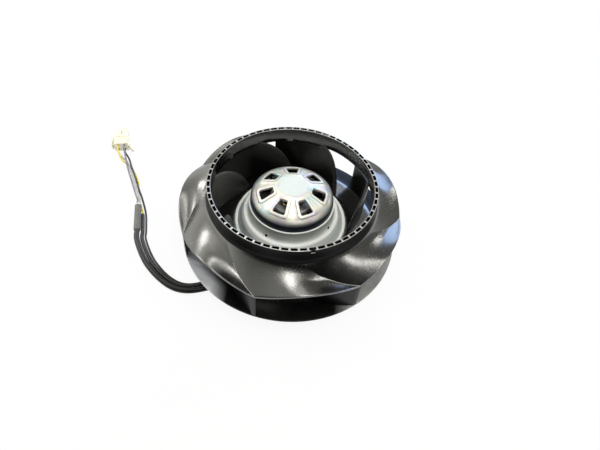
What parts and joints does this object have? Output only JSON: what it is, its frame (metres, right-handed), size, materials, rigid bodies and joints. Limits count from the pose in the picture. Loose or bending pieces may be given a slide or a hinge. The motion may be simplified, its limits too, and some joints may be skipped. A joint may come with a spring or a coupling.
{
  "type": "fan motor",
  "caption": "Motorised centrifugal impeller: external-rotor fan motor in a backward-curved wheel with a wavy shroud, pocketed inlet rim, flange mount and plugged lead",
  "frame": {"origin": "on the motor's mounting face, at the rotation axis", "axes": "+Z along the rotation axis from the mounting face to the inlet, +X to the right in the picture, -Y towards the camera; the lead leaves to -X"},
  "size_m": [0.2944, 0.2152, 0.0758],
  "materials": {
    "cast_aluminium": "satin",
    "turned_steel": "satin",
    "bearing_steel": "polished",
    "lamination_steel": "matte",
    "insulator_plastic": "matte",
    "enamelled_copper": "gloss",
    "board_laminate": "satin",
    "capacitor_sleeve": "gloss",
    "ferrite": "matte",
    "component_black": "matte",
    "plated_steel": "zinc plated",
    "grommet_rubber": "matte",
    "bush_brass": "satin",
    "label_film": "satin",
    "wheel_plastic": "satin",
    "cable_jacket": "satin",
    "sleeve_grey": "satin",
    "nylon_ivory": "satin",
    "wire_grey": "satin",
    "wire_yellow": "satin",
    "wire_white": "satin"
  },
  "bodies": {
    "stator": {"stator_flange": "cast_aluminium", "bearing_tube": "turned_steel", "lower_outer_ring": "bearing_steel", "upper_outer_ring": "bearing_steel", "stator_core": "lamination_steel", "lower_insulator": "insulator_plastic", "upper_insulator": "insulator_plastic", "coil_windings": "enamelled_copper", "circuit_board": "board_laminate", "capacitors": "capacitor_sleeve", "choke": "ferrite", "power_switches": "component_black", "position_sensors": "component_black", "board_screws": "plated_steel", "power_grommet": "grommet_rubber", "control_grommet": "grommet_rubber", "single_grommet": "grommet_rubber", "power_cable": "cable_jacket", "control_cable": "cable_jacket", "single_lead": "cable_jacket", "shrink_sleeve": "sleeve_grey", "sleeve_ring": "nylon_ivory", "grey_wire": "wire_grey", "yellow_wire": "wire_yellow", "white_wire": "wire_white", "connector_housing": "nylon_ivory", "connector_latch": "nylon_ivory", "crimp_contacts": "bush_brass"},
    "lower_balls": {"lower_ball_set": "bearing_steel"},
    "upper_balls": {"upper_ball_set": "bearing_steel"},
    "rotor": {"shaft": "turned_steel", "rotor_bush": "bush_brass", "lower_inner_ring": "bearing_steel", "upper_inner_ring": "bearing_steel", "shaft_circlip": "turned_steel", "preload_washer": "turned_steel", "rotor_bell": "plated_steel", "magnet_ring": "ferrite", "label_disc": "label_film", "impeller_carrier": "plated_steel", "impeller_back_plate": "wheel_plastic", "impeller_blades": "wheel_plastic", "impeller_shroud": "wheel_plastic", "inlet_rim": "wheel_plastic", "balance_clip": "plated_steel"}
  },
  "joints": [
    {"name": "rotor_spin", "type": "hinge", "parent": "stator", "child": "rotor", "pos_m": [0, 0, 0.04], "axis": [0, 0, 1], "continuous": true},
    {"name": "lower_cage_spin", "type": "hinge", "parent": "stator", "child": "lower_balls", "pos_m": [0, 0, 0.0125], "axis": [0, 0, 1], "continuous": true},
    {"name": "upper_cage_spin", "type": "hinge", "parent": "stator", "child": "upper_balls", "pos_m": [0, 0, 0.0525], "axis": [0, 0, 1], "continuous": true}
  ],
  "couplings": [
    {"joint": "lower_cage_spin", "follows": "rotor_spin", "ratio": 0.368},
    {"joint": "upper_cage_spin", "follows": "rotor_spin", "ratio": 0.368}
  ]
}
